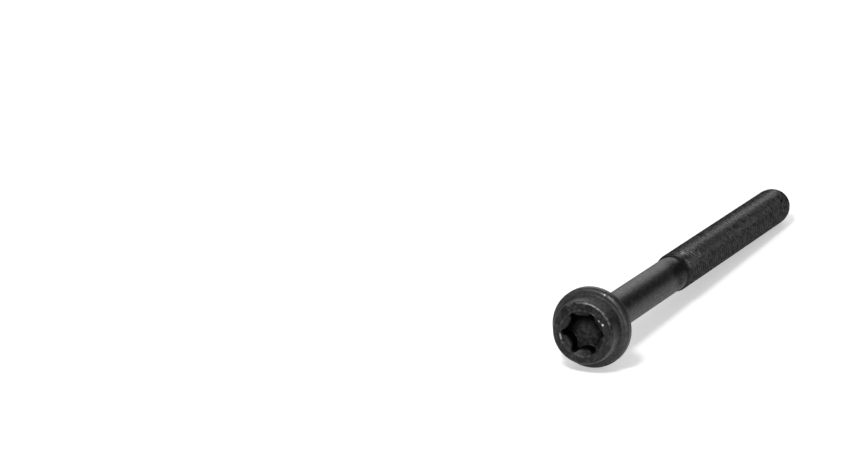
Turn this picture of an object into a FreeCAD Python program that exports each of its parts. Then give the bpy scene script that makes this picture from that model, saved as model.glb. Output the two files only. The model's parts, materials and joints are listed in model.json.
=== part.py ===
import FreeCAD, Part
import math
import os
from FreeCAD import Vector

# A flanged bolt for a cylinder head, forged and rolled from one bar, in millimetres.
# It is drawn along its own axis: x is 0 at the bearing face under the flange,
# negative through the head and positive along the shank to the point.
# At the end it is laid on the floor, where it rests on its flange and its point.

# Thread and shank
bolt_length = 163.0             # from the bearing face to the point
thread_length = 100.8
thread_diameter = 12.0          # over the crests
thread_pitch = 1.75
run_out_length = 2.8            # cone from the shank up to the crests
collar_diameter = 12.2          # centres the bolt in its hole
collar_length = 7.4
collar_cone_length = 2.2        # from the collar down to the shank
under_head_fillet = 0.8

# Point
point_length = 4.4
point_end_diameter = 8.2        # of the taper at the end face, before its round
point_round = 1.9
point_lead_round = 12.0         # eases the crests into the taper

# Flange
flange_diameter = 24.2
flange_thickness = 3.8
flange_bearing_round = 1.2
flange_front_round = 1.2

# Head
head_height = 9.7               # from the bearing face to the crest of the rim
head_base_diameter = 20.2       # where it grows out of the flange
head_end_diameter = 19.0
head_base_fillet = 0.8
rim_drop = 0.5                  # the rim slopes down outwards from its crest
rim_outer_round = 1.0

# Dished end face and its six-lobed drive recess
dish_diameter = 13.8            # at the crest of the rim
dish_angle = 104.0              # between opposite sides of its cone
dish_depth = 2.0                # its cone ends inside the recess, where nothing of it is left
lobe_count = 6
lobe_tip_diameter = 13.3
lobe_root_diameter = 9.5
lobe_tip_round = 0.9
recess_depth = 5.2              # from the crest of the rim, at the lobes' tips
recess_cone_depth = 0.6         # how much deeper its middle is
cutter_overrun = 5.0            # how far the recess is cut out past the head
drive_turn = -4.0               # degrees that a lobe is turned off the level

# Seam of the round faces, which a full turn of the outline leaves along the bolt
seam_turn = 158.6               # degrees off the top

# Sizes that follow. A rolled thread starts from a blank of its pitch diameter.
pitch_diameter_drop = 0.6495
shank_diameter = thread_diameter - pitch_diameter_drop * thread_pitch
thread_start = bolt_length - thread_length
dish_wall_run = dish_depth * math.tan(math.radians(dish_angle / 2))


def rounded_corner(before, corner, after, radius):
    """The arc that rounds one corner of an outline, as its start, middle and end."""
    to_before = (before - corner).normalize()
    to_after = (after - corner).normalize()
    half_angle = to_before.getAngle(to_after) / 2
    reach = radius / math.tan(half_angle)
    inwards = (to_before + to_after).normalize()
    middle = corner + inwards * (radius / math.sin(half_angle) - radius)
    return corner + to_before * reach, middle, corner + to_after * reach


def rounded_outline(corners):
    """A closed wire through corners given as (x, radius from the axis, corner round)."""
    points = [Vector(x, 0, r) for x, r, _ in corners]
    edges = []
    pen = points[0]
    for i in range(1, len(corners)):
        round_radius = corners[i][2]
        if round_radius == 0:
            edges.append(Part.makeLine(pen, points[i]))
            pen = points[i]
            continue
        start, middle, end = rounded_corner(points[i - 1], points[i], points[i + 1], round_radius)
        edges.append(Part.makeLine(pen, start))
        edges.append(Part.Arc(start, middle, end).toShape())
        pen = end
    edges.append(Part.makeLine(pen, points[0]))
    return Part.Wire(edges)


def head_corners():
    """From the middle of the dished end face, over the rim and flange, to the bearing face."""
    flange_radius = flange_diameter / 2
    return [
        (dish_depth - head_height, 0, 0),
        (dish_depth - head_height, dish_diameter / 2 - dish_wall_run, 0),
        (-head_height, dish_diameter / 2, 0),
        (rim_drop - head_height, head_end_diameter / 2, rim_outer_round),
        (-flange_thickness, head_base_diameter / 2, head_base_fillet),
        (-flange_thickness, flange_radius, flange_front_round),
        (0, flange_radius, flange_bearing_round),
        (0, collar_diameter / 2, under_head_fillet),
    ]


def shank_corners():
    """From the collar, along the shank and the thread's crests, to the middle of the point."""
    return [
        (collar_length, collar_diameter / 2, 0),
        (collar_length + collar_cone_length, shank_diameter / 2, 0),
        (thread_start, shank_diameter / 2, 0),
        (thread_start + run_out_length, thread_diameter / 2, 0),
        (bolt_length - point_length, thread_diameter / 2, point_lead_round),
        (bolt_length, point_end_diameter / 2, point_round),
        (bolt_length, 0, 0),
    ]


def turned_body():
    outline = Part.Face(rounded_outline(head_corners() + shank_corners()))
    outline.rotate(Vector(0, 0, 0), Vector(1, 0, 0), seam_turn)
    return outline.revolve(Vector(0, 0, 0), Vector(1, 0, 0), 360)


def lobe_root_round():
    """Radius of the ridges between the lobes, which are tangent to the lobes' tips."""
    tip_centre = lobe_tip_diameter / 2 - lobe_tip_round
    root = lobe_root_diameter / 2
    cosine = math.cos(math.pi / lobe_count)
    gap = tip_centre**2 + root**2 - 2 * tip_centre * root * cosine - lobe_tip_round**2
    return gap / (2 * (lobe_tip_round - root + tip_centre * cosine))


def around(x, distance, angle):
    """A point at a distance from the axis, with the angle counted from the level."""
    return Vector(x, distance * math.cos(angle), distance * math.sin(angle))


def lobed_wire(x):
    """The six-lobed outline across the axis: an arc at each tip and at each ridge."""
    root_round = lobe_root_round()
    tip_centre = lobe_tip_diameter / 2 - lobe_tip_round
    root_centre = lobe_root_diameter / 2 + root_round
    edges = []
    for i in range(lobe_count):
        tip_angle = math.radians(drive_turn) + 2 * math.pi * i / lobe_count
        root_angles = [tip_angle - math.pi / lobe_count, tip_angle + math.pi / lobe_count]
        centre = around(x, tip_centre, tip_angle)
        roots = [around(x, root_centre, angle) for angle in root_angles]
        touches = [centre + (root - centre).normalize() * lobe_tip_round for root in roots]
        tip = around(x, lobe_tip_diameter / 2, tip_angle)
        edges.append(Part.Arc(touches[0], tip, touches[1]).toShape())
        ridge = around(x, lobe_root_diameter / 2, root_angles[1])
        next_touch = mirrored(touches[1], root_angles[1])
        edges.append(Part.Arc(touches[1], ridge, next_touch).toShape())
    return Part.Wire(edges)


def mirrored(point, angle):
    """The point's mirror image in the plane that holds the axis and this angle."""
    across = Vector(0, -math.sin(angle), math.cos(angle))
    return point - across * (2 * point.dot(across))


def drive_recess():
    """What is cut out of the head: a six-lobed bar with a shallow cone for its nose."""
    mouth = -head_height - cutter_overrun
    floor = recess_depth - head_height
    bar_length = floor + recess_cone_depth - mouth
    bar = Part.Face(lobed_wire(mouth)).extrude(Vector(bar_length, 0, 0))
    nose = rounded_outline([
        (mouth, 0, 0),
        (mouth, lobe_tip_diameter, 0),
        (floor - recess_cone_depth, lobe_tip_diameter, 0),
        (floor + recess_cone_depth, 0, 0),
    ])
    return bar.common(Part.Face(nose).revolve(Vector(0, 0, 0), Vector(1, 0, 0), 360))


def resting_tilt():
    """How far the axis dips to the point, in degrees, with flange and point on the floor."""
    lead_turn = math.atan2((thread_diameter - point_end_diameter) / 2, point_length)
    lead_reach = point_lead_round * math.tan(lead_turn / 2)
    along = bolt_length - point_length - lead_reach + flange_bearing_round
    across = (flange_diameter - thread_diameter) / 2 + point_lead_round - flange_bearing_round
    span = math.hypot(along, across)
    lift = math.asin((flange_bearing_round - point_lead_round) / span)
    return math.degrees(lift + math.atan2(across, along))


def laid_down(shape):
    """Dips the point to the floor and puts the middle of the bolt's footprint at the origin."""
    tilted = shape.copy()
    tilted.rotate(Vector(0, 0, 0), Vector(0, 1, 0), resting_tilt())
    box = tilted.optimalBoundingBox()
    tilted.translate(Vector(-(box.XMin + box.XMax) / 2, 0, -box.ZMin))
    return tilted


def head_bolt():
    return laid_down(turned_body().cut(drive_recess()))


def main():
    os.makedirs("parts", exist_ok=True)
    head_bolt().exportStep("parts/head_bolt.step")


main()
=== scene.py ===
import json
import math
from types import SimpleNamespace
from typing import Callable, NamedTuple

import bmesh
import bpy
from mathutils import Matrix, Vector


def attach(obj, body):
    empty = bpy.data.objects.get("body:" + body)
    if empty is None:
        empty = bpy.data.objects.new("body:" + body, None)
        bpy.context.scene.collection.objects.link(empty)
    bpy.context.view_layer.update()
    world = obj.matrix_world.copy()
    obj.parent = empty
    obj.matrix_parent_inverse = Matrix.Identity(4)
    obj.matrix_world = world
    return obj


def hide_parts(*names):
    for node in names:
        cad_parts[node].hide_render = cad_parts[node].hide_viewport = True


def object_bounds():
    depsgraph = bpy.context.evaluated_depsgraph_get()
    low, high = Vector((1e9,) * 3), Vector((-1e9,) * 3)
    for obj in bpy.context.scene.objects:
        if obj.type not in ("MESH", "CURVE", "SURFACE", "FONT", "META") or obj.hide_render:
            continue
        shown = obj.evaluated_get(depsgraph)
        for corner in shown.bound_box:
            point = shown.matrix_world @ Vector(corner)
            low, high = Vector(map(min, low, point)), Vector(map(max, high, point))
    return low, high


bl_info = {
    "name": "Cylinder Head Bolt",
    "version": (1, 0, 0),
    "blender": (4, 5, 0),
    "location": "3D View > Sidebar > Head Bolt",
    "description": "Forges the bolt with its rolled thread, blackens it and sets it in a studio",
    "category": "Object",
}

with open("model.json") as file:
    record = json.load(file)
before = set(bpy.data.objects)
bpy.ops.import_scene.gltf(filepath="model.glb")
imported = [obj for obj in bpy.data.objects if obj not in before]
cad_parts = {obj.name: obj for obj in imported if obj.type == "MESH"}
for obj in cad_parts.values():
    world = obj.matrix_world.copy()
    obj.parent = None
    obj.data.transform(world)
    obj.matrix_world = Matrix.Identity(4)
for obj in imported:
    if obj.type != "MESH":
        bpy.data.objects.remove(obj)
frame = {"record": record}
cad_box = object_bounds()
mounts = {mount["name"]: mount for mount in frame["record"]["mounts"]}

# The bolt is drawn along X, with x = 0 at the bearing face, and then laid on its CAD axis.
AXIS = Vector(mounts["thread"]["axis"]).normalized()
ON_AXIS = Vector(mounts["thread"]["pos_m"])
SEAT = ON_AXIS + AXIS * (Vector(mounts["under_head"]["pos_m"]) - ON_AXIS).dot(AXIS)
TILT = math.asin(-AXIS.z)

# How finely the mesh is drawn, in metres where it is a length
HEAD_SEGMENTS = 192
SHANK_SEGMENTS = 96
CORNER_STEPS = 6                    # in the round of each corner of the head and the shank
POINT_STEPS = 16                    # in each of the two rounds of the point
THREAD_STEPS = 1                    # in each round of the thread's section
SUPPORT_GAP = 0.00012               # from the end of a flat to the ring that keeps its shading flat
LONGEST_FACE = 0.004
WELD = 1e-6                         # points closer than this, or twice this at a join, become one
NEAR = 0.0001                       # how far from a place an open edge is still found
SHARPEST_SMOOTH = math.radians(28)  # steeper edges stay sharp

# The recess and the places where the separately turned pieces are joined
LOBES = 6
MOUTH_MARGIN = 0.00014              # from the lobes' tips out to the ring where the recess begins
RECESS_EDGE = 0.0001                # the soft edge around the mouth
FLOOR_FILLET = 0.0004               # around the floor of the recess
FILLET_STEPS = 4
FLOOR_TIP = 0.0001                  # from the floor's innermost ring down to its middle
BEARING_SEAM = 0.00875              # radius where the head and the shank meet on the bearing face
SEAM_GAP = 0.0005                   # left open there until the two are bridged
POINT_HOLE = 0.0006                 # radius left open in the point's end until it is closed

# The thread's section
THREAD_DEPTH = 0.6134               # of its pitch
CREST_FLAT = 1 / 8                  # of its pitch, before the crest's rounds
FLANK_ANGLE = math.radians(30)      # off the plane across the bolt
LAST_GROOVE_REACH = 0.008           # back from the end of the bolt, where the last groove is sought
LAST_GROOVE_STEP = 0.0001           # of that search, and how far the point falls below the root there

# The photograph's camera, as fitted to the outlines of the bolt, and what the lamps look at
CAMERA_PLACE = (-0.97294, -0.35807, 0.33373)
CAMERA_DIP = math.radians(16.861)       # below the level
CAMERA_HEADING = math.radians(24.711)   # from +X towards +Y
CAMERA_LENS = 147.1                     # mm, in front of a sensor 36 mm wide
CAMERA_SENSOR = 36
CAMERA_SHIFT = (-0.0003, 0.0004)
LAMPS_AIM = Vector((-0.02, 0, 0.008))


def length(name, description, default):
    return bpy.props.FloatProperty(
        name=name, description=description, default=default, min=0.0, unit="LENGTH", precision=5
    )


def turn(name, description, degrees):
    return bpy.props.FloatProperty(
        name=name, description=description, default=math.radians(degrees), subtype="ANGLE"
    )


def mount_diameter(name):
    return 2 * mounts[name]["dims"]["r_mm"] / 1000


class BoltSizes(bpy.types.PropertyGroup):
    bolt_length: length("Length", "From the bearing face to the point", 0.163)
    thread_length: length("Thread length", "From the end of the shank to the point", 0.1008)
    thread_diameter: length("Thread diameter", "Over the crests", mount_diameter("thread"))
    thread_pitch: length("Pitch", "From one crest to the next", 0.00175)
    crest_round: length("Crest round", "On both edges of each crest", 0.0001)
    groove_round: length("Groove round", "On both edges of each groove's bottom", 0.00018)
    run_out: length("Run-out", "Along which the thread rises from the shank", 0.0028)
    collar_diameter: length("Collar diameter", "Over the guide collar", mount_diameter("guide_collar"))
    collar_length: length("Collar length", "From the bearing face to the collar's cone", 0.0074)
    collar_cone: length("Collar cone", "From the collar down to the shank", 0.0022)
    collar_round: length("Collar round", "Where the collar turns into its cone", 0.002)
    cone_round: length("Cone round", "Where the cone turns into the shank", 0.003)
    under_head_fillet: length("Under-head fillet", "Between collar and bearing face", 0.0008)
    shank_diameter: length("Shank diameter", "Of the plain, waisted shank", 0.010863)
    flange_diameter: length("Flange diameter", "Over the flange", 0.0242)
    flange_thickness: length("Flange thickness", "At its rim", 0.0038)
    flange_round: length("Flange round", "On both edges of the flange", 0.0012)
    head_height: length("Head height", "From the bearing face to the rim's crest", 0.0097)
    head_base_diameter: length("Head base", "Where the head grows out of the flange", 0.0202)
    head_base_fillet: length("Head fillet", "Between flange and head", 0.0008)
    head_end_diameter: length("Head end", "At the rim", 0.019)
    rim_drop: length("Rim drop", "How far the rim slopes down outwards", 0.0005)
    rim_round: length("Rim round", "On the rim's outer edge", 0.001)
    dish_diameter: length("Dish diameter", "At the crest of the rim", 0.0138)
    dish_round: length("Dish round", "On the crest of the rim", 0.0002)
    dish_angle: turn("Dish angle", "Between opposite sides of the dished end's cone", 104)
    recess_depth: length("Recess depth", "From the rim's crest, at the lobes' tips", 0.0052)
    recess_cone: length("Recess cone", "How much deeper the recess is in its middle", 0.0006)
    lobe_tip_diameter: length("Lobe tips", "Over two opposite lobes", 0.0133)
    lobe_root_diameter: length("Lobe ridges", "Across two opposite ridges", 0.0095)
    lobe_tip_round: length("Lobe round", "Radius of each lobe's tip", 0.0009)
    drive_turn: turn("Drive turn", "How far a lobe is turned off the level", -4)
    point_length: length("Point length", "Of the taper, before its rounds", 0.0044)
    point_end_diameter: length("Point end", "Of the taper at the end face, before its rounds", 0.0082)
    point_lead_round: length("Point lead round", "From the crests into the taper", 0.012)
    point_round: length("Point round", "From the taper into the end face", 0.0019)


def grey(level):
    return (level, level, level, 1)


def colour(name, description, default):
    return bpy.props.FloatVectorProperty(
        name=name, description=description, default=default, size=4, min=0.0, max=1.0, subtype="COLOR"
    )


class BoltFinish(bpy.types.PropertyGroup):
    coating: colour("Coating", "The black phosphate where it is even", (0.0035, 0.0035, 0.0036, 1))
    grain: colour("Grain", "The paler crystals in the coating", (0.034, 0.034, 0.035, 1))
    # Soot colour: oil and soot, also used as painted shade in the recess, the thread's grooves and one
    # band of the shank.
    soot: colour("Soot", "Oil and soot, mostly in the recess", grey(0.001))
    # Worn edges, and also painted highlights on the rim's corner, the flange's edge and some crests.
    worn: colour("Worn edge", "Where edges and crests are rubbed", (0.2, 0.2, 0.203, 1))
    # Bare steel of the chips, pale enough to act as painted glints.
    bare: colour("Bare steel", "In the small chips on the head", (0.85, 0.85, 0.86, 1))
    floor: colour("Floor", "The studio floor", grey(0.86))


def deselect_all():
    if bpy.context.object and bpy.context.object.mode != "OBJECT":
        bpy.ops.object.mode_set(mode="OBJECT")
    bpy.ops.object.select_all(action="DESELECT")


def rounded(corners, steps):
    """Points along an outline whose corners are (x, radius from the axis, corner round)."""
    places = [Vector((x, r)) for x, r, _ in corners]
    points = [places[0]]
    for before, corner, after, (_, _, bend) in zip(places, places[1:], places[2:], corners[1:]):
        if bend == 0:
            points.append(corner)
            continue
        back = (before - corner).normalized()
        ahead = (after - corner).normalized()
        half = back.angle(ahead) / 2
        centre = corner + (back + ahead).normalized() * bend / math.sin(half)
        start = corner + back * bend / math.tan(half) - centre
        sweep = math.pi - 2 * half
        if back.x * ahead.y - back.y * ahead.x > 0:
            sweep = -sweep
        for step in range(steps + 1):
            points.append(centre + Matrix.Rotation(sweep * step / steps, 2) @ start)
    points.append(places[-1])
    return points


def with_supports(points):
    """Adds points along every long run, two of them close to its ends, so that its shading stays flat."""
    held = [points[0]]
    for a, b in zip(points, points[1:]):
        run = (b - a).length
        if run > 4 * SUPPORT_GAP:
            inner = run - 2 * SUPPORT_GAP
            pieces = max(1, math.ceil(inner / LONGEST_FACE))
            for step in range(pieces + 1):
                held.append(a.lerp(b, (SUPPORT_GAP + inner * step / pieces) / run))
        held.append(b)
    return held


def draw_outline(name, points):
    """A new mesh with one open line of edges, drawn point by point above the X axis."""
    deselect_all()
    first = points[0]
    bpy.ops.mesh.primitive_plane_add(size=0.001, location=(0, 0, 0))
    drawn = bpy.context.object
    drawn.name = name
    bpy.ops.object.mode_set(mode="EDIT")
    bpy.ops.mesh.merge(type="CENTER")
    bpy.ops.transform.translate(value=(first.x, 0, first.y))
    for a, b in zip(points, points[1:]):
        bpy.ops.mesh.extrude_region_move(TRANSFORM_OT_translate={"value": (b.x - a.x, 0, b.y - a.y)})
    bpy.ops.object.mode_set(mode="OBJECT")
    return drawn


def weld(distance):
    """Merges the points of the active piece that lie closer together than this."""
    bpy.ops.object.mode_set(mode="EDIT")
    bpy.ops.mesh.select_all(action="SELECT")
    bpy.ops.mesh.remove_doubles(threshold=distance)
    bpy.ops.object.mode_set(mode="OBJECT")


def spin_round(segments):
    """Turns the outline that was just drawn once about the X axis and closes the seam."""
    bpy.ops.object.mode_set(mode="EDIT")
    bpy.ops.mesh.select_all(action="SELECT")
    bpy.ops.mesh.spin(steps=segments, angle=2 * math.pi, center=(0, 0, 0), axis=(1, 0, 0))
    bpy.ops.object.mode_set(mode="OBJECT")
    weld(WELD)


def cone_place(sizes, radius):
    """Where the dished cone of the end face is, at a distance from the axis."""
    return (sizes.dish_diameter / 2 - radius) / math.tan(sizes.dish_angle / 2) - sizes.head_height


def mouth_radius(sizes):
    """Of the ring on the dished cone, just outside the lobes, where the recess is drawn in."""
    return sizes.lobe_tip_diameter / 2 + MOUTH_MARGIN


def head_outline(sizes):
    """From the dished cone over the rim and the flange to the bearing face."""
    flange = sizes.flange_diameter / 2
    mouth = mouth_radius(sizes)
    return with_supports(rounded([
        (cone_place(sizes, mouth), mouth, 0),
        (-sizes.head_height, sizes.dish_diameter / 2, sizes.dish_round),
        (sizes.rim_drop - sizes.head_height, sizes.head_end_diameter / 2, sizes.rim_round),
        (-sizes.flange_thickness, sizes.head_base_diameter / 2, sizes.head_base_fillet),
        (-sizes.flange_thickness, flange, sizes.flange_round),
        (0, flange, sizes.flange_round),
        (0, BEARING_SEAM + SEAM_GAP / 2, 0),
    ], CORNER_STEPS))


def shank_outline(sizes):
    """From the bearing face over the fillet and the collar to the start of the thread."""
    collar = sizes.collar_diameter / 2
    shank = sizes.shank_diameter / 2
    return with_supports(rounded([
        (0, BEARING_SEAM - SEAM_GAP / 2, 0),
        (0, collar, sizes.under_head_fillet),
        (sizes.collar_length, collar, sizes.collar_round),
        (sizes.collar_length + sizes.collar_cone, shank, sizes.cone_round),
        (sizes.bolt_length - sizes.thread_length, shank, 0),
    ], CORNER_STEPS))


def point_outline(sizes):
    """From the start of the thread, over its crests and the taper, to the point's end face."""
    crest = sizes.thread_diameter / 2
    return rounded([
        (sizes.bolt_length - sizes.thread_length, crest, 0),
        (sizes.bolt_length - sizes.point_length, crest, sizes.point_lead_round),
        (sizes.bolt_length, sizes.point_end_diameter / 2, sizes.point_round),
        (sizes.bolt_length, POINT_HOLE, 0),
    ], POINT_STEPS)


def envelope(sizes):
    """The radius that the crests may reach at a place along the bolt, as a function."""
    points = point_outline(sizes)

    def reach(x):
        for a, b in zip(points, points[1:]):
            if a.x <= x <= b.x and b.x > a.x:
                return a.y + (b.y - a.y) * (x - a.x) / (b.x - a.x)
        return points[0].y
    return reach


def thread_end(sizes):
    """Where the point has become narrower than the thread's root, so that no groove is left."""
    root = sizes.thread_diameter / 2 - THREAD_DEPTH * sizes.thread_pitch
    reach = envelope(sizes)
    x = sizes.bolt_length - LAST_GROOVE_REACH
    while reach(x) > root - LAST_GROOVE_STEP:
        x += LAST_GROOVE_STEP
        if x > sizes.bolt_length:
            raise RuntimeError("The point is wider than the root of the thread.")
    return x


def thread_turn(sizes, start):
    """The outline of one turn: crest flat, flank, root and the flank back up."""
    pitch = sizes.thread_pitch
    crest = sizes.thread_diameter / 2
    depth = THREAD_DEPTH * pitch
    flank = depth * math.tan(FLANK_ANGLE)
    half_flat = CREST_FLAT * pitch / 2
    return rounded([
        (start, crest, 0),
        (start + half_flat, crest, sizes.crest_round),
        (start + half_flat + flank, crest - depth, sizes.groove_round),
        (start + pitch - half_flat - flank, crest - depth, sizes.groove_round),
        (start + pitch - half_flat, crest, sizes.crest_round),
        (start + pitch, crest, 0),
    ], THREAD_STEPS)


def roll_thread(sizes):
    """Screws one turn's outline along the bolt, then presses both ends into the blank."""
    start = sizes.bolt_length - sizes.thread_length
    end = thread_end(sizes)
    pitch = sizes.thread_pitch
    thread = draw_outline("thread", thread_turn(sizes, start - pitch))
    screw = thread.modifiers.new("Roll", "SCREW")
    screw.axis = "X"
    screw.angle = 2 * math.pi
    screw.steps = SHANK_SEGMENTS
    screw.render_steps = SHANK_SEGMENTS
    screw.screw_offset = pitch
    screw.iterations = math.ceil((end - start) / pitch) + 1
    bpy.ops.object.modifier_apply(modifier=screw.name)
    reach = envelope(sizes)
    blank = sizes.shank_diameter / 2
    for vertex in thread.data.vertices:
        x, y, z = vertex.co
        rolled = math.hypot(y, z)
        x = min(max(x, start), end)
        grown = min((x - start) / sizes.run_out, 1)
        grown = grown * grown * (3 - 2 * grown)
        pressed = min(blank + grown * (rolled - blank), reach(x))
        vertex.co = (x, y * pressed / rolled, z * pressed / rolled)
    return thread


def turn_point(sizes):
    """The smooth bullet point, from the last groove to its flat end."""
    end = thread_end(sizes)
    beyond = [p for p in point_outline(sizes) if p.x > end + LAST_GROOVE_STEP / 2]
    point = draw_outline("point", [Vector((end, envelope(sizes)(end)))] + beyond)
    spin_round(SHANK_SEGMENTS)
    return point


def lobed_place(share, sizes, widen):
    """Where the six-lobed outline is, a share of the way from one lobe to the next, and widened."""
    tip_round = sizes.lobe_tip_round
    tip_centre = sizes.lobe_tip_diameter / 2 - tip_round
    root = sizes.lobe_root_diameter / 2
    half = math.pi / LOBES
    gap = tip_centre**2 + root**2 - 2 * tip_centre * root * math.cos(half) - tip_round**2
    ridge_round = gap / (2 * (tip_round - root + tip_centre * math.cos(half)))
    ridge_centre = Vector((math.cos(half), math.sin(half))) * (root + ridge_round)
    lean = math.atan2(ridge_centre.y, ridge_centre.x - tip_centre)
    tip_run = tip_round * lean
    ridge_run = ridge_round * (lean - half)
    near = min(share, 1 - share) * 2 * (tip_run + ridge_run)
    if near < tip_run:
        angle = near / tip_round
        place = Vector((tip_centre, 0)) + Vector((math.cos(angle), math.sin(angle))) * (tip_round + widen)
    else:
        angle = math.pi + lean - (near - tip_run) / ridge_round
        place = ridge_centre + Vector((math.cos(angle), math.sin(angle))) * (ridge_round - widen)
    if share > 0.5:
        place = Matrix.Rotation(2 * half, 2) @ Vector((place.x, -place.y))
    return place


def select_open_edges(piece, low=-math.inf, high=math.inf):
    """Selects the open edges whose middle lies between two places along the bolt."""
    bpy.ops.mesh.select_all(action="DESELECT")
    mesh = bmesh.from_edit_mesh(piece.data)
    for edge in mesh.edges:
        if edge.is_boundary and low < (edge.verts[0].co.x + edge.verts[1].co.x) / 2 < high:
            edge.select_set(True)
    bmesh.update_edit_mesh(piece.data)


class Ring(NamedTuple):
    """One ring of points down the recess."""
    lies_on: Callable       # gives the place along the bolt for a distance from the axis
    star: float = 1         # 0 on the round mouth, 1 on the six-lobed outline
    widen: float = 0
    shrink: float = 1
    lift: float = 0


def recess_rings(sizes):
    """From the round mouth on the cone to the six-lobed edge, down its wall and over the floor."""
    floor = sizes.recess_depth - sizes.head_height

    def on_cone(radius):
        return cone_place(sizes, radius)

    def on_floor(radius):
        return floor + sizes.recess_cone * (1 - 2 * radius / sizes.lobe_tip_diameter)

    rings = [Ring(on_cone, star, RECESS_EDGE) for star in (0.25, 0.5, 0.75, 1)]
    rings.append(Ring(on_cone, widen=0.3 * RECESS_EDGE, lift=0.5 * RECESS_EDGE))
    rings.append(Ring(on_cone, lift=1.3 * RECESS_EDGE))
    rings.append(Ring(on_cone, lift=4 * RECESS_EDGE))
    rings.append(Ring(on_floor, lift=-2 * FLOOR_FILLET))
    for step in range(FILLET_STEPS + 1):
        sweep = math.pi / 2 * step / FILLET_STEPS
        widen = FLOOR_FILLET * (math.cos(sweep) - 1)
        lift = FLOOR_FILLET * (math.sin(sweep) - 1)
        rings.append(Ring(on_floor, widen=widen, lift=lift))
    for shrink in (0.8, 0.5, 0.2):
        rings.append(Ring(on_floor, widen=-FLOOR_FILLET, shrink=shrink))
    return rings


def note_turns(head, sizes):
    """Keeps with each point how far round it is from the first lobe."""
    mesh = bmesh.from_edit_mesh(head.data)
    turns = mesh.verts.layers.float.new("turn")
    for vertex in mesh.verts:
        vertex[turns] = (math.atan2(vertex.co.z, vertex.co.y) - sizes.drive_turn) % (2 * math.pi)
    bmesh.update_edit_mesh(head.data)


def place_ring(head, ring, sizes):
    """Moves the selected points to one ring of the recess."""
    sector = 2 * math.pi / LOBES
    mesh = bmesh.from_edit_mesh(head.data)
    turns = mesh.verts.layers.float["turn"]
    for vertex in mesh.verts:
        if vertex.select:
            lobe, part = divmod(vertex[turns] / sector, 1)
            lobed = Matrix.Rotation(lobe * sector, 2) @ lobed_place(part, sizes, ring.widen)
            mouth = Matrix.Rotation(vertex[turns], 2) @ Vector((mouth_radius(sizes), 0))
            place = Matrix.Rotation(sizes.drive_turn, 2) @ mouth.lerp(lobed, ring.star) * ring.shrink
            vertex.co = (ring.lies_on(place.length) + ring.lift, place.x, place.y)
    bmesh.update_edit_mesh(head.data)


def punch_recess(head, sizes):
    """Draws the open ring on the cone into the six-lobed mouth and down to the coned floor."""
    bpy.ops.object.mode_set(mode="EDIT")
    note_turns(head, sizes)
    select_open_edges(head, high=cone_place(sizes, mouth_radius(sizes)) + NEAR)
    for ring in recess_rings(sizes):
        bpy.ops.mesh.extrude_region_move(TRANSFORM_OT_translate={"value": (0, 0, 0)})
        place_ring(head, ring, sizes)
    bpy.ops.mesh.extrude_region_move(TRANSFORM_OT_translate={"value": (FLOOR_TIP, 0, 0)})
    bpy.ops.mesh.merge(type="CENTER")
    bpy.ops.object.mode_set(mode="OBJECT")
    head.data.attributes.remove(head.data.attributes["turn"])


def join_onto(body, *others):
    """Joins other pieces onto the body and leaves the body active."""
    deselect_all()
    for piece in (body, *others):
        piece.select_set(True)
    bpy.context.view_layer.objects.active = body
    bpy.ops.object.join()


def bridge_bearing_face(body):
    """Closes the narrow gap on the bearing face between the head's ring and the shank's."""
    bpy.ops.object.mode_set(mode="EDIT")
    select_open_edges(body, -NEAR, NEAR)
    bpy.ops.mesh.bridge_edge_loops()
    bpy.ops.object.mode_set(mode="OBJECT")


def close_point(body, sizes):
    """Closes the small hole in the middle of the point's end face."""
    bpy.ops.object.mode_set(mode="EDIT")
    select_open_edges(body, low=sizes.bolt_length - NEAR)
    bpy.ops.mesh.extrude_region_move(TRANSFORM_OT_translate={"value": (0, 0, 0)})
    bpy.ops.mesh.merge(type="CENTER")
    bpy.ops.object.mode_set(mode="OBJECT")


def face_outwards(body):
    """Turns all faces of the active body outwards, once it is known to be closed."""
    bpy.ops.object.mode_set(mode="EDIT")
    open_edges = [edge for edge in bmesh.from_edit_mesh(body.data).edges if not edge.is_manifold]
    if open_edges:
        raise RuntimeError(f"The bolt has {len(open_edges)} open edges.")
    bpy.ops.mesh.select_all(action="SELECT")
    bpy.ops.mesh.normals_make_consistent(inside=False)
    bpy.ops.object.mode_set(mode="OBJECT")


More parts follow.
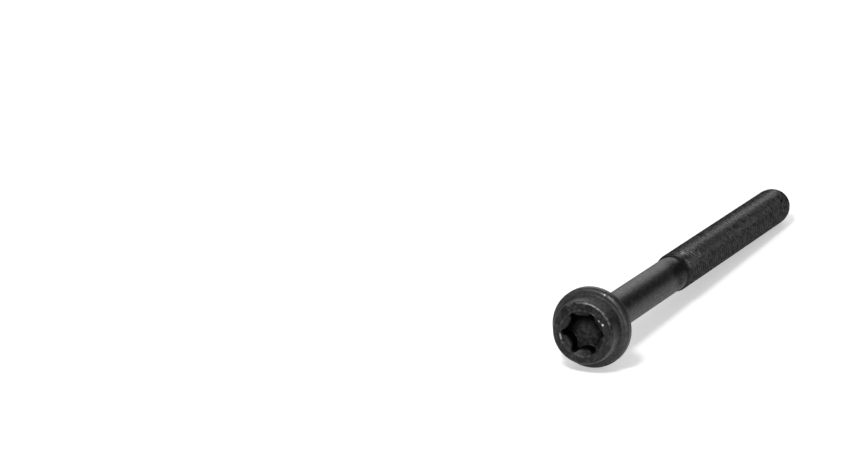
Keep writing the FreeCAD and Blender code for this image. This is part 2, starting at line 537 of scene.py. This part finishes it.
class Channel:
    """One socket of a shader. Arithmetic on it adds the Math nodes that work it out."""

    def __init__(self, tree, socket=None):
        self.tree = tree
        self.socket = socket

    def node(self, kind, settings=None, output=0, **sockets):
        """Adds a node, sets it up, fills its sockets and returns one of its outputs.

        A socket goes by its name, or by i and its number where names repeat.
        """
        made = self.tree.nodes.new(kind)
        for name, value in (settings or {}).items():
            setattr(made, name, value)
        for name, value in sockets.items():
            key = int(name[1:]) if name[1:].isdigit() else name.replace("_", " ")
            self.fill(made.inputs[key], value)
        return Channel(self.tree, made.outputs[output])

    def fill(self, socket, value):
        if isinstance(value, Channel):
            self.tree.links.new(value.socket, socket)
        else:
            socket.default_value = value

    def maths(self, operation, *values, kind="ShaderNodeMath", output=0):
        sockets = {f"i{place}": value for place, value in enumerate(values)}
        return self.node(kind, {"operation": operation}, output, **sockets)

    def vectors(self, operation, *values, output="Vector"):
        return self.maths(operation, *values, kind="ShaderNodeVectorMath", output=output)

    def __add__(self, other):
        return self.maths("ADD", self, other)

    def __sub__(self, other):
        return self.maths("SUBTRACT", self, other)

    def __rsub__(self, other):
        return self.maths("SUBTRACT", other, self)

    def __mul__(self, other):
        return self.maths("MULTIPLY", self, other)

    __radd__ = __add__
    __rmul__ = __mul__

    def above(self, low, high, before=0, after=1):
        """Goes softly from one number to another while this channel goes from low to high."""
        return self.node("ShaderNodeMapRange", {"interpolation_type": "SMOOTHSTEP"},
                         Value=self, From_Min=low, From_Max=high, To_Min=before, To_Max=after)

    def below(self, low, high, before=1):
        """Goes softly down to 0 while this channel goes from low to high."""
        return self.above(low, high, before, 0)

    def blend(self, first, second):
        """Mixes two colours, with this number as the share of the second."""
        return self.node("ShaderNodeMix", {"data_type": "RGBA"}, output=2,
                         i0=self, i6=first, i7=second)


def noise(base, place, scale, detail=3, roughness=0.6):
    return base.node("ShaderNodeTexNoise",
                     Vector=place, Scale=scale, Detail=detail, Roughness=roughness)


def new_material(name):
    material = bpy.data.materials.new(name)
    material.use_nodes = True
    material.node_tree.nodes.clear()
    return material, Channel(material.node_tree)


def show(base, kind, surface):
    """Ends a shader with its output node."""
    output = base.tree.nodes.new(kind)
    base.fill(output.inputs["Surface"], surface)


class Mark(NamedTuple):
    """A place that is worn, chipped or stained, or where a highlight, glint or shade is painted. It fades
    out at its reach.
    """
    x: float                # along the bolt, from the bearing face
    radius: float           # from the axis
    degrees: float          # around the axis, from +Y towards +Z
    reach: float
    strength: float = 1


MARK_CORE = 0.4             # the share of a mark's reach that has its full strength
MARKS = {
    # Rubbed crests with painted glints near the thread's start, and a rubbed scratch further along.
    "rubbed_crests": [
        Mark(0.0655, 0.006, 143, 0.0018),
        Mark(0.0686, 0.006, 109, 0.0023),
        Mark(0.0725, 0.006, 118, 0.0023),
        Mark(0.0763, 0.006, 128, 0.0020),
        Mark(0.1035, 0.006, 143, 0.0022, 0.4),
        Mark(0.1085, 0.006, 122, 0.0013),
    ],
    # Rubbed rim and painted highlight: a paler, more metallic arc on the rim's upper corner, where the
    # key lamp's highlight falls.
    "rubbed_rim": [Mark(-0.0092, 0.0092, 106, 0.0092)],
    # Rubbed flange edge and painted glints near its top.
    "rubbed_flange": [Mark(-0.00355, 0.01155, 116, 0.0036)],
    # Painted highlight: paler patches on the head's side where the lamps light it.
    "pale_head": [
        Mark(-0.0065, 0.0098, 82, 0.011),
        Mark(-0.0065, 0.0098, 225, 0.010, 0.7),
    ],
    "pale_shank": [Mark(0.0560, 0.0054, 208, 0.009)],
    # Painted shade: a darker, duller patch where the shank's dark reflected band widens before the
    # thread.
    "dull_shank": [Mark(0.0585, 0.0054, 150, 0.007)],
    # Chips and painted glints: small bright spots on the dish crest and the flange.
    "chips": [
        Mark(-0.00962, 0.00727, 151.5, 0.00042),
        Mark(-0.0096, 0.0067, 139, 0.00044),
        Mark(-0.00355, 0.01155, 112, 0.00035, 0.5),
    ],
    # Painted glint: a bright streak along the dish crest on the left.
    "dish_chip": [Mark(-0.0097, 0.0070, 346, 0.0013, 0.5)],
    "thread_pit": [Mark(0.153, 0.006, 143, 0.0008)],
    # Painted light: the lit part of the recess floor, kept free of the painted shade.
    "wiped_floor": [Mark(-0.0043, 0.0024, 288, 0.0060)],
}


def marked(base, along, marks):
    """The strengths of some marks, added up: 0 where there is none of them."""
    spots = []
    for mark in marks:
        angle = math.radians(mark.degrees)
        centre = (mark.x, mark.radius * math.cos(angle), mark.radius * math.sin(angle))
        away = base.vectors("DISTANCE", along, centre, output="Value")
        spots.append(away.below(mark.reach * MARK_CORE, mark.reach, before=mark.strength))
    return sum(spots[1:], start=spots[0])


def bolt_places(base, along, sizes):
    """Masks for the parts of the bolt and for its marks, each 0 away from what it is named for."""
    x = base.node("ShaderNodeSeparateXYZ", output="X", Vector=along)
    radius = base.vectors("LENGTH", base.vectors("MULTIPLY", along, (0, 1, 1)), output="Value")
    rim = -sizes.head_height
    dish_crest = sizes.dish_diameter / 2
    head = sizes.head_end_diameter / 2
    front = -sizes.flange_thickness
    flange = sizes.flange_diameter / 2
    floor = rim + sizes.recess_depth
    lobes = sizes.lobe_tip_diameter / 2
    cone = sizes.collar_length
    thread = sizes.bolt_length - sizes.thread_length
    crest = sizes.thread_diameter / 2
    end = sizes.bolt_length

    at = SimpleNamespace()
    at.end_face = x.below(rim + 0.0005, rim + 0.0009)
    at.dish_crest = radius.above(dish_crest - 0.0003, dish_crest - 0.0001) * at.end_face
    at.dish_crest *= radius.below(dish_crest + 0.0001, dish_crest + 0.0004)
    at.rim_corner = radius.above(head - 0.0008, head - 0.0004) * at.end_face
    at.head_side = x.above(rim + 0.0006, rim + 0.0011) * x.below(front - 0.0007, front - 0.0002)
    at.head_side *= radius.above(head - 0.0005, head - 0.0001)
    at.flange_front = x.above(front - 0.0004, front) * x.below(front + 0.0006, front + 0.0011)
    at.flange_edge = radius.above(flange - 0.0009, flange - 0.0006)
    at.flange_edge *= radius.below(flange - 0.0003, flange - 0.0001)
    at.recess = x.above(rim + 0.0008, rim + 0.0017) * x.below(floor + 0.0015, floor + 0.0020)
    at.recess *= radius.below(lobes - 0.00005, lobes + 0.00015)
    at.recess_floor = x.above(floor - 0.0002, floor + 0.0001)
    at.recess_floor *= radius.below(lobes - 0.00025, lobes - 0.00005)
    at.thread = x.above(thread, thread + 0.003)
    at.shank = x.above(cone + 0.0006, cone + 0.0036) * (1 - at.thread)
    at.crests = radius.above(crest - 0.0003, crest - 0.00002) * at.thread
    at.grooves = radius.below(crest - 0.001, crest - 0.0003) * at.thread
    at.grooves *= x.below(end - 0.006, end - 0.003)
    for name, marks in MARKS.items():
        setattr(at, name, marked(base, along, marks))
    return at


def skin_patterns(base, along):
    """Irregularities of the forged and coated skin, from wide blotches down to single crystals.

    A scale counts patches per metre, so those of the mottle are a little over 1 mm wide.
    """
    drawn_out = base.vectors("MULTIPLY", along, (0.1, 1, 1))
    skin = SimpleNamespace()
    skin.blotches = noise(base, along, 240, roughness=0.55)
    skin.mottle = noise(base, along, 760, detail=4)
    skin.crystals = noise(base, along, 2600)
    skin.draw_lines = noise(base, drawn_out, 1900)
    skin.grain = skin.mottle.above(0.42, 0.62) * 0.55 + skin.crystals.above(0.45, 0.65) * 0.45
    return skin


def wear_and_highlight_share(at, skin):
    """How far the coating is rubbed away on edges and crests, with painted highlights and glints on the
    rim's corner, the flange's edge, the crests near the thread's start and the head's side.
    """
    wear_and_highlight = at.rim_corner * (0.12 + at.rubbed_rim * 1.7)
    wear_and_highlight += at.dish_crest * 0.25
    wear_and_highlight += at.flange_edge * (0.15 + at.rubbed_flange * 0.8)
    wear_and_highlight += at.head_side * at.pale_head * 0.26
    wear_and_highlight += at.crests * (0.22 + at.rubbed_crests * 1.6)
    return wear_and_highlight * skin.mottle.above(0.36, 0.60)


def steel_colour(at, skin, wear_and_highlight, finish):
    """The coating with its crystals and painted highlights, then what is rubbed, chipped and pitted in
    it, with painted glints, and painted shade in the grooves and on one band of the shank.
    """
    pale_and_highlit = skin.grain * (0.35 + skin.blotches.above(0.35, 0.65) * 0.8)
    # Painted highlight: the flange's front face is paler, standing in for the light on a rounder fillet
    # than the mesh has.
    pale_and_highlit += at.flange_front * 0.7
    # Painted highlight: the head's side is paler, most where the painted head highlight lies.
    pale_and_highlit += at.head_side * (0.1 + at.pale_head * 0.9)
    pale_and_highlit += at.pale_shank * skin.mottle * 0.6
    coated = (pale_and_highlit * (1 - at.shank * 0.35)).blend(finish.coating, finish.grain)
    rubbed_and_highlit = wear_and_highlight.blend(coated, finish.worn)
    # Chips and painted glints in the bare steel colour.
    chipped_and_glinting = (at.chips + at.dish_chip * at.dish_crest).blend(rubbed_and_highlit, finish.bare)
    # Dark spots: a real pit near the point, plus painted shade in the thread's grooves and on the shank's
    # dark band.
    dark = at.thread_pit + at.dull_shank * 0.5 + at.grooves * 0.3
    return dark.blend(chipped_and_glinting, finish.soot)


def soot_and_shade_share(at, skin):
    """How much of the surface is dull and dark: oil and soot traces all over, and the recess darkened as
    painted shade with some oil, bar a painted lit patch on its floor. most of the recess, traces
    elsewhere.
    """
    traces = (1 - skin.grain) * (0.16 + at.end_face * 0.26 + at.thread * 0.12 + at.shank * 0.2)
    traces += at.shank * 0.1 + at.thread * 0.22
    traces += at.dull_shank * skin.blotches * 0.8 + at.thread_pit * 0.9
    # Painted light on the recess floor, mottled.
    painted_lit_floor = at.recess_floor * at.wiped_floor * (0.42 + skin.mottle.above(0.35, 0.65) * 0.55)
    return at.recess * (1 - painted_lit_floor) + traces * (1 - at.recess)


def phosphated_steel(sizes, finish):
    """Black phosphate over forged and rolled steel, a little oily, rubbed paler on its edges, with
    painted highlights and glints and painted shade in the recess and grooves.
    """
    material, base = new_material("phosphated_steel")
    place = base.node("ShaderNodeTexCoord", output="Object")
    along = base.node("ShaderNodeMapping", {"vector_type": "TEXTURE"},
                      Vector=place, Location=SEAT, Rotation=(0, TILT, 0))
    at = bolt_places(base, along, sizes)
    skin = skin_patterns(base, along)
    wear_and_highlight = wear_and_highlight_share(at, skin)
    sheen = 0.38 + skin.mottle * 0.16 - at.thread * 0.13 - at.shank * 0.05 - at.rim_corner * 0.10
    relief = skin.mottle * (0.35 + at.end_face * 1.5 + at.recess_floor * 1.2)
    relief += skin.crystals * 0.4 + skin.draw_lines * at.shank * 0.25
    bump = base.node("ShaderNodeBump", Strength=0.55, Distance=0.00008, Height=relief)
    steel = base.node("ShaderNodeBsdfPrincipled", Base_Color=steel_colour(at, skin, wear_and_highlight, finish),
                      Roughness=sheen, Metallic=wear_and_highlight * 0.5, IOR=1.42, Normal=bump)
    # Dull, dark shader: oil and soot traces, and painted shade in the recess.
    sooty_and_shaded = base.node("ShaderNodeBsdfPrincipled", Base_Color=finish.soot,
                      Roughness=0.7, IOR=1.1, Normal=bump)
    surface = base.node("ShaderNodeMixShader", i0=soot_and_shade_share(at, skin), i1=steel, i2=sooty_and_shaded)
    show(base, "ShaderNodeOutputMaterial", surface)
    return material


def studio_white(name, floor_colour):
    """A pale matt floor that the camera and reflections see as white, with its shadows kept."""
    material, base = new_material(name)
    seen = base.node("ShaderNodeLightPath", output="Is Camera Ray")
    mirrored = base.node("ShaderNodeLightPath", output="Is Glossy Ray")
    through = base.node("ShaderNodeLightPath", output="Is Transmission Ray")
    shown = base.maths("MAXIMUM", base.maths("MAXIMUM", seen, mirrored), through)
    place = base.node("ShaderNodeTexCoord", output="Object")
    away = base.vectors("LENGTH", place, output="Value")
    lift = away.above(0.3, 1.6).blend(grey(0.45), grey(1))
    matt = base.node("ShaderNodeBsdfDiffuse", Color=floor_colour)
    glow = base.node("ShaderNodeEmission", Color=lift, Strength=1)
    bright = base.node("ShaderNodeAddShader", i0=matt, i1=glow)
    surface = base.node("ShaderNodeMixShader", i0=shown, i1=matt, i2=bright)
    show(base, "ShaderNodeOutputMaterial", surface)
    return material


class HEADBOLT_OT_forge(bpy.types.Operator):
    """Forge the head bolt, roll its thread and give it its black finish"""
    bl_idname = "head_bolt.forge"
    bl_label = "Forge Head Bolt"
    bl_options = {"REGISTER", "UNDO"}

    def execute(self, context):
        sizes = context.scene.bolt_sizes
        body = draw_outline("phosphated_bolt", head_outline(sizes))
        spin_round(HEAD_SEGMENTS)
        punch_recess(body, sizes)
        shank = draw_outline("shank", shank_outline(sizes))
        spin_round(SHANK_SEGMENTS)
        join_onto(body, shank)
        bridge_bearing_face(body)
        join_onto(body, roll_thread(sizes), turn_point(sizes))
        weld(2 * WELD)
        close_point(body, sizes)
        face_outwards(body)
        bpy.ops.object.shade_smooth_by_angle(angle=SHARPEST_SMOOTH)
        body.rotation_euler = (0, TILT, 0)
        body.location = SEAT
        bpy.ops.object.transform_apply(location=True, rotation=True, scale=True)
        body.data.materials.clear()
        body.data.materials.append(phosphated_steel(sizes, context.scene.bolt_finish))
        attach(body, "root")
        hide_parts("head_bolt")
        return {"FINISHED"}


def soft_box(name, azimuth, elevation, distance, width, height, glow):
    """An area lamp turned to the bolt. Its face is as bright as glow, where 1 is white."""
    heading = math.radians(azimuth)
    rise = math.radians(elevation)
    level = math.cos(rise)
    towards = Vector((math.cos(heading) * level, math.sin(heading) * level, math.sin(rise)))
    bpy.ops.object.light_add(type="AREA", location=LAMPS_AIM + towards * distance)
    lamp = bpy.context.object
    lamp.name = name
    lamp.rotation_euler = towards.to_track_quat("Z", "Y").to_euler()
    lamp.data.shape = "RECTANGLE"
    lamp.data.size = width
    lamp.data.size_y = height
    lamp.data.energy = glow * math.pi * width * height


def lay_floor(finish):
    bpy.ops.mesh.primitive_plane_add(size=12, location=(0, 0, cad_box[0][2]))
    floor = bpy.context.object
    floor.name = "studio_floor"
    bpy.ops.object.transform_apply(location=True, rotation=True, scale=True)
    floor.data.materials.append(studio_white("studio_floor", finish.floor))


def hang_dome(scene):
    """Surroundings that light the bolt softly from above, and that the camera sees as white."""
    world = bpy.data.worlds.new("studio")
    scene.world = world
    world.use_nodes = True
    world.node_tree.nodes.clear()
    base = Channel(world.node_tree)
    towards = base.node("ShaderNodeTexCoord", output="Generated")
    rise = base.node("ShaderNodeSeparateXYZ", output="Z", Vector=towards)
    dome = rise.above(0.15, 0.9).blend(grey(0.05), grey(0.45))
    seen = base.node("ShaderNodeLightPath", output="Is Camera Ray")
    glow = base.node("ShaderNodeBackground", Color=seen.blend(dome, grey(1)), Strength=1)
    show(base, "ShaderNodeOutputWorld", glow)


def set_camera(scene):
    """Stands the camera where the photograph was taken from."""
    quarter_turn = math.pi / 2
    bpy.ops.object.camera_add(
        location=CAMERA_PLACE,
        rotation=(quarter_turn - CAMERA_DIP, 0, CAMERA_HEADING - quarter_turn),
    )
    camera = bpy.context.object
    camera.name = "photograph_camera"
    camera.data.sensor_fit = "HORIZONTAL"
    camera.data.sensor_width = CAMERA_SENSOR
    camera.data.lens = CAMERA_LENS
    camera.data.shift_x, camera.data.shift_y = CAMERA_SHIFT
    camera.data.clip_end = 50
    scene.camera = camera


class HEADBOLT_OT_stage(bpy.types.Operator):
    """Set the floor, the soft boxes, the pale surroundings and the camera"""
    bl_idname = "head_bolt.stage"
    bl_label = "Set Studio"
    bl_options = {"REGISTER", "UNDO"}

    def execute(self, context):
        deselect_all()
        lay_floor(context.scene.bolt_finish)
        soft_box("key_soft_box", 180, 52, distance=1.1, width=0.2, height=0.2, glow=49)
        soft_box("back_soft_box", 19, 20, distance=1.2, width=0.7, height=0.4, glow=3)
        soft_box("front_soft_box", 207, 14, distance=1.2, width=0.24, height=0.14, glow=32)
        hang_dome(context.scene)
        set_camera(context.scene)
        context.scene.view_settings.view_transform = "Standard"
        return {"FINISHED"}


class HEADBOLT_PT_panel(bpy.types.Panel):
    bl_idname = "HEADBOLT_PT_panel"
    bl_label = "Cylinder Head Bolt"
    bl_space_type = "VIEW_3D"
    bl_region_type = "UI"
    bl_category = "Head Bolt"

    def draw(self, context):
        layout = self.layout
        for group in (context.scene.bolt_sizes, context.scene.bolt_finish):
            for name in group.__annotations__:
                layout.prop(group, name)
        layout.operator(HEADBOLT_OT_forge.bl_idname)
        layout.operator(HEADBOLT_OT_stage.bl_idname)


CLASSES = (BoltSizes, BoltFinish, HEADBOLT_OT_forge, HEADBOLT_OT_stage, HEADBOLT_PT_panel)


def register():
    for each in CLASSES:
        bpy.utils.register_class(each)
    bpy.types.Scene.bolt_sizes = bpy.props.PointerProperty(type=BoltSizes)
    bpy.types.Scene.bolt_finish = bpy.props.PointerProperty(type=BoltFinish)


def unregister():
    del bpy.types.Scene.bolt_finish
    del bpy.types.Scene.bolt_sizes
    for each in reversed(CLASSES):
        bpy.utils.unregister_class(each)


def main():
    register()
    bpy.ops.head_bolt.forge()
    bpy.ops.head_bolt.stage()


if __name__ == "__main__":
    main()
